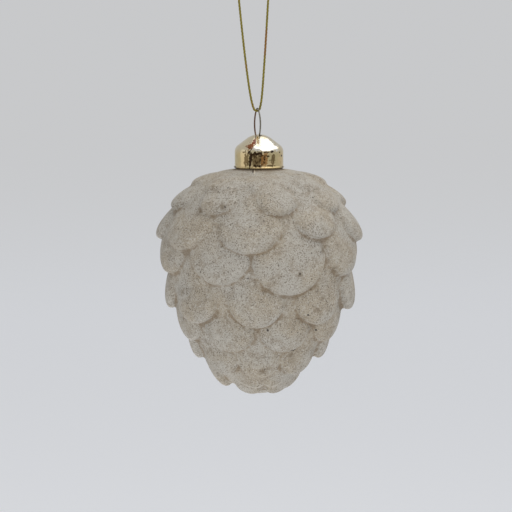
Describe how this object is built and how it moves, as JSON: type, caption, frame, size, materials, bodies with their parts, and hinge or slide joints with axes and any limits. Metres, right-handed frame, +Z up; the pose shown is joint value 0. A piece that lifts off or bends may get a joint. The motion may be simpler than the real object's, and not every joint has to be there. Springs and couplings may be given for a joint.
{
  "type": "hanging pine cone bauble",
  "caption": "Blown glass pine cone bauble with overlapping rounded scales, a domed metal cap, a wire eye and a loop of metallic cord to hang it by.",
  "frame": {"origin": "inside of the top of the cord loop, where it lies on the branch or hook that it hangs from", "axes": "+Z up along the hanging bauble, -Y towards the front as pictured, +X to its right"},
  "size_m": [0.081, 0.0814, 0.175],
  "materials": {
    "glass_cone": "matte",
    "cap": "polished",
    "wire_hanger": "satin",
    "hanging_cord": "metallic",
    "cord_knot": "metallic"
  },
  "bodies": {
    "root": {"glass_cone": "glass_cone", "cap": "cap", "wire_hanger": "wire_hanger", "hanging_cord": "hanging_cord", "cord_knot": "cord_knot"}
  },
  "joints": []
}
